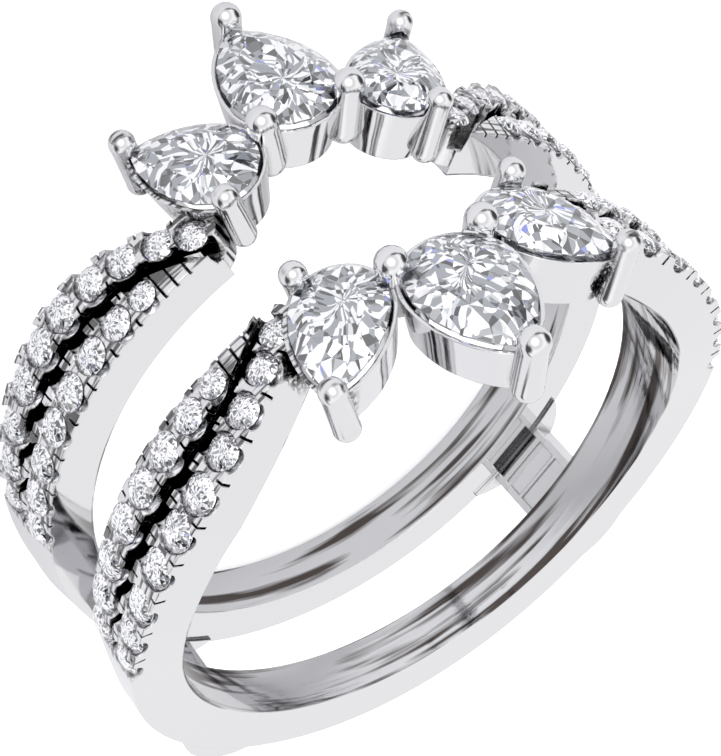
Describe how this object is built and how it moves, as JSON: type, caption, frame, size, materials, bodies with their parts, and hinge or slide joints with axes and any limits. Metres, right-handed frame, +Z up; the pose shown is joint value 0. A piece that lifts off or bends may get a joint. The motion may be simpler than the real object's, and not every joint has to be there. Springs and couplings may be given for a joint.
{
  "type": "ring guard enhancer",
  "caption": "Open double-band ring guard with rows of small stones on its shoulders, pear stones at the top and two bars joining the bands; another ring fits between them.",
  "frame": {"origin": "middle of the bounding box seen from above, on the floor, with the ring lying on its side as it rests by itself", "axes": "+X across the ring, +Y towards the stones at its top, +Z up; the finger's line leans about 13 degrees from +Z in the YZ plane"},
  "size_m": [0.0206, 0.0236, 0.0153],
  "materials": {
    "white_gold": "polished rhodium-plated white gold",
    "small_stone": "clear cut diamond",
    "pear_stone": "clear cut diamond"
  },
  "bodies": {
    "root": {"metal_frame": "white_gold", "pave_front": "small_stone", "pave_back": "small_stone", "pear_mid_front": "pear_stone", "pear_mid_back": "pear_stone", "pear_left_front": "pear_stone", "pear_right_front": "pear_stone", "pear_left_back": "pear_stone", "pear_right_back": "pear_stone"}
  },
  "joints": []
}
